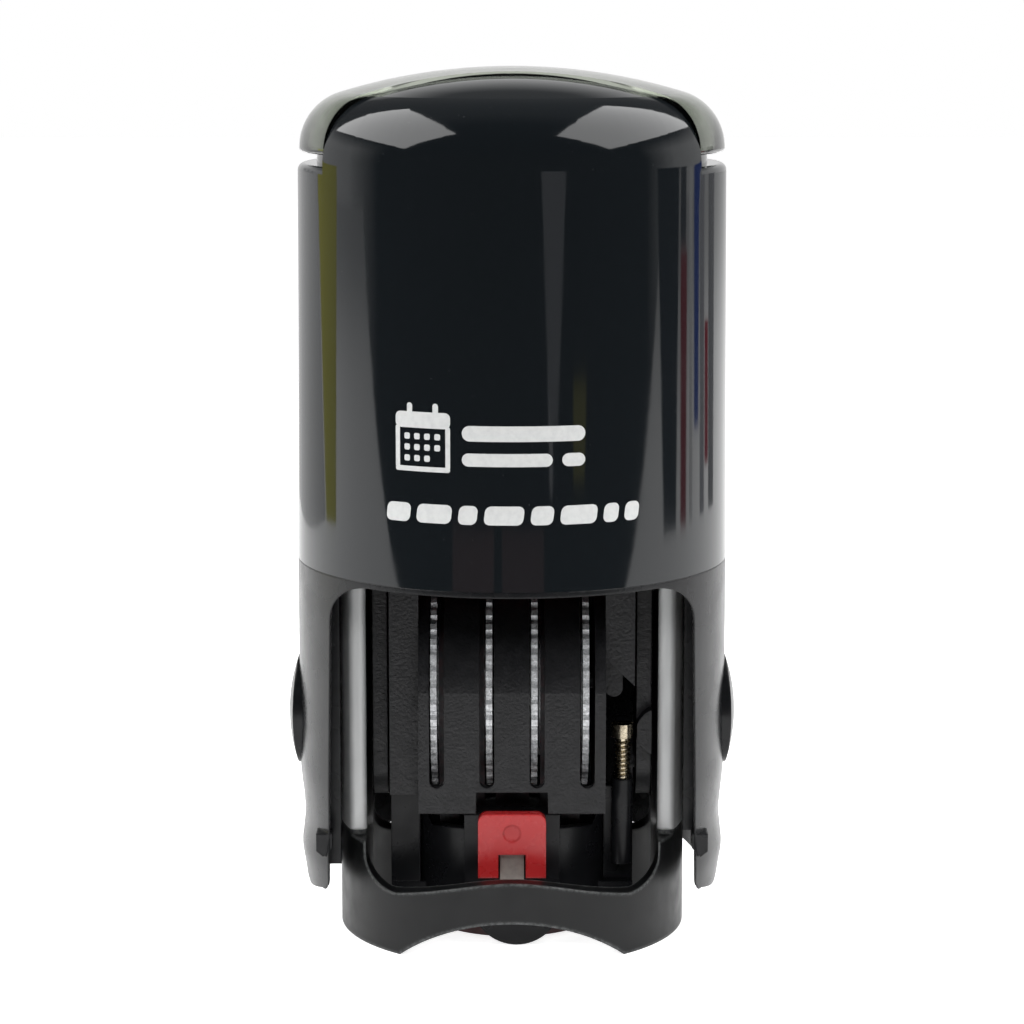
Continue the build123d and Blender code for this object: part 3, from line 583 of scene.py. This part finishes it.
def coil_spring(material):
    """Return spring with closed end turns, between the pad holder and the cap's yoke."""
    steps = SPRING_STEPS * SPRING_TURNS
    path = []
    for step in range(steps + 1):
        turn = step / steps * SPRING_TURNS
        angle = 2 * pi * turn
        z = SPRING_LOW + (SPRING_HIGH - SPRING_LOW) * spring_rise(turn)
        path.append(Vector((SPRING_R * cos(angle), SPRING_R * sin(angle), z)))
    spring = tube("coil_spring", path, SPRING_WIRE_R, 12, material)
    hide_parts("return_spring")
    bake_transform(spring)


SCREW_AXIS = Vector((9.8 * MM, -5.0 * MM, 0))
SHANK_R = 0.6 * MM
THREAD_LOW = 14.15 * MM
THREAD_HIGH = 17.7 * MM
THREAD_PITCH = 0.42 * MM
THREAD_HALF = 0.17 * MM     # half the ridge's foot, and the ridge's height
THREAD_SINK = 0.04 * MM     # how far the foot sits in the shank
THREAD_STEPS = 28           # in one turn
TAPER_STEPS = 14            # the ridge runs out to nothing over these at both ends


def screw_thread(material):
    """Thread ridge round the adjusting screw's shank."""
    bm = bmesh.new()
    turns = (THREAD_HIGH - THREAD_LOW) / THREAD_PITCH
    steps = int(THREAD_STEPS * turns)
    rows = []
    for step in range(steps + 1):
        angle = 2 * pi * turns * step / steps
        z = THREAD_LOW + (THREAD_HIGH - THREAD_LOW) * step / steps
        taper = min(1.0, step / TAPER_STEPS, (steps - step) / TAPER_STEPS)
        ridge = ((-THREAD_HALF, -THREAD_SINK), (0.0, THREAD_HALF * taper), (THREAD_HALF, -THREAD_SINK))
        row = []
        for lift, reach in ridge:
            around = SHANK_R + reach
            place = SCREW_AXIS + Vector((around * cos(angle), around * sin(angle), z + lift))
            row.append(bm.verts.new(place))
        rows.append(row)
    for row, after in zip(rows, rows[1:]):
        join_ring(bm, row, after)
    bm.faces.new(rows[0])
    bm.faces.new(rows[-1][::-1])
    thread = piece_from("screw_thread", bm, material)
    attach(thread, "date_block")


# The shell's height and radius at its parting line and at its rim, in mm
SHELL_LOW = (33.6, 19.1)
SHELL_HIGH = (68.4, 18.75)
PRINT_LIFTS = (-0.02, 0.02)     # the print's back and face, out from the shell
PRINT_STEP = 0.25               # mean width of the flat strips that a long bar is made of
PRINT_TIP = 0.01                # half the height left where a bar's round corners meet


def on_shell(u, z, lift):
    """Point on the shell's front: u along the girth, z up, both in mm."""
    share = (z - SHELL_LOW[0]) / (SHELL_HIGH[0] - SHELL_LOW[0])
    radius = SHELL_LOW[1] + share * (SHELL_HIGH[1] - SHELL_LOW[1]) + lift
    return (radius * sin(u / radius) * MM, -radius * cos(u / radius) * MM, z * MM)


def add_bar(bm, u0, u1, z0, z1, corner, slant=0.0):
    """A printed bar with round corners, in narrow strips that follow the shell."""
    steps = max(12, int((u1 - u0) / PRINT_STEP))
    sections = []
    for step in range(steps + 1):
        share = 0.5 - 0.5 * cos(pi * step / steps)
        u = u0 + (u1 - u0) * share
        reach = max(0.0, corner - min(u - u0, u1 - u))
        inset = corner - sqrt(max(corner ** 2 - reach ** 2, 0.0))
        inset = min(inset, (z1 - z0) / 2 - PRINT_TIP)
        low, high = ([bm.verts.new(on_shell(u + slant * (z - z0), z, lift)) for lift in PRINT_LIFTS]
                     for z in (z0 + inset, z1 - inset))
        sections.append((low[0], low[1], high[1], high[0]))
    for section, after in zip(sections, sections[1:]):
        join_ring(bm, section, after)
    bm.faces.new(sections[0])
    bm.faces.new(sections[-1][::-1])


# The print, in mm along the girth and up
CALENDAR = (-10.2, -5.2, 43.6, 48.6)    # left, right, low, high
CALENDAR_HEAD = 1.35
CALENDAR_LINE = 0.42
DAY_SIZE = 0.52
DAY_PITCH = 0.92
DAY_MARGIN = 0.85
BARS = (                                # left, right, low, high, corner
    (-4.2, 6.2, 46.3, 47.6, 0.65),
    (-4.2, 3.4, 44.2, 45.3, 0.55),
    (4.2, 6.2, 44.2, 45.3, 0.55),
)
DASHES = ((-11.2, -8.9), (-8.3, -5.2), (-4.6, -3.0), (-2.4, 0.9), (1.5, 3.4), (4.0, 7.2), (7.8, 9.2),
          (9.8, 11.2))
DASHES_LOW = 39.3
DASHES_HIGH = 40.9


def calendar_mark(bm):
    left, right, low, high = CALENDAR
    add_bar(bm, left, right, high - CALENDAR_HEAD, high, 0.45)
    for side in (left, right - CALENDAR_LINE):
        add_bar(bm, side, side + CALENDAR_LINE, low + 0.3, high - 1.2, 0.12)
    add_bar(bm, left, right, low, low + CALENDAR_LINE, 0.2)
    for ring in (-9.1, -6.75):
        add_bar(bm, ring, ring + 0.5, high - 0.2, high + 0.75, 0.24)
    for column in range(4):
        for row in range(3):
            if (column, row) != (3, 0):
                u = left + DAY_MARGIN + DAY_PITCH * column
                z = low + DAY_MARGIN + DAY_PITCH * row
                add_bar(bm, u, u + DAY_SIZE, z, z + DAY_SIZE, 0.14)


def printed_mark(material):
    """Plain calendar pictogram with blank bars and dashes, where a maker's print would be."""
    bm = bmesh.new()
    calendar_mark(bm)
    for bar in BARS:
        add_bar(bm, *bar)
    for start, end in DASHES:
        add_bar(bm, start, end, DASHES_LOW, DASHES_HIGH, 0.5, slant=0.12)
    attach(piece_from("printed_mark", bm, material), "cap")


# Segments of a plain seven-bar digit: start and end on a grid one wide and two high
SEGMENTS = {
    "top": (0, 2, 1, 2),
    "upper_left": (0, 1, 0, 2),
    "upper_right": (1, 1, 1, 2),
    "middle": (0, 1, 1, 1),
    "lower_left": (0, 0, 0, 1),
    "lower_right": (1, 0, 1, 1),
    "bottom": (0, 0, 1, 0),
}
DIGITS = {
    1: ("upper_right", "lower_right"),
    2: ("top", "upper_right", "middle", "lower_left", "bottom"),
    6: ("top", "upper_left", "middle", "lower_left", "lower_right", "bottom"),
    7: ("top", "upper_right", "lower_right"),
}
# What each band shows: its digits, the middle of its face and the face's width in mm
TYPE = (
    ("day_tens", (2,), -5.68, 1.6),
    ("day_units", (7,), -3.18, 1.6),
    ("month", (1, 1), 0.3, 2.6),
    ("year", (2, 6), 4.27, 3.1),
)
TYPE_HEIGHT = 2.6
TYPE_STROKE = 0.34
TYPE_Z = (0.06, 0.5)            # from the printing face to inside the band
TYPE_FILL = 0.55                # share of its part of the face that a digit takes
TYPE_ROUNDING = 0.05 * MM
# Faces of a box whose corners are listed low before high along x, then y, then z
BOX_FACES = ((0, 1, 3, 2), (4, 6, 7, 5), (0, 4, 5, 1), (2, 3, 7, 6), (0, 2, 6, 4), (1, 5, 7, 3))


def widened(start, end):
    """A stroke's two edges along one axis."""
    return (min(start, end) - TYPE_STROKE / 2, max(start, end) + TYPE_STROKE / 2)


def add_segment(bm, segment, middle, width):
    """One straight stroke of a digit, as a box; mirrored, as type is."""
    x0, y0, x1, y1 = SEGMENTS[segment]
    x_span = widened(*(middle - (x - 0.5) * width for x in (x0, x1)))
    y_span = widened(*((y / 2 - 0.5) * (TYPE_HEIGHT - TYPE_STROKE) for y in (y0, y1)))
    verts = [bm.verts.new((x * MM, y * MM, z * MM)) for x in x_span for y in y_span for z in TYPE_Z]
    for face in BOX_FACES:
        bm.faces.new([verts[corner] for corner in face])


def raised_digits(band, values, centre_x, width, material):
    """Mirrored raised digits on a band's printing face, rounded off along their edges."""
    bm = bmesh.new()
    cell = width / len(values)
    for place, value in enumerate(values):
        middle = centre_x + (len(values) - 1) / 2 * cell - place * cell
        for segment in DIGITS[value]:
            add_segment(bm, segment, middle, cell * TYPE_FILL)
    made = piece_from(f"{band}_type", bm, material)
    bevel = made.modifiers.new("round_off", "BEVEL")
    bevel.width = TYPE_ROUNDING
    bevel.segments = 2
    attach(made, "date_block")


studio()
dress_frame()
coil_spring(bright_steel().mat)
screw_thread(nickel_brass().mat)
printed_mark(print_white().mat)
type_rubber = band_rubber().mat
for band, values, centre_x, width in TYPE:
    raised_digits(band, values, centre_x, width, type_rubber)
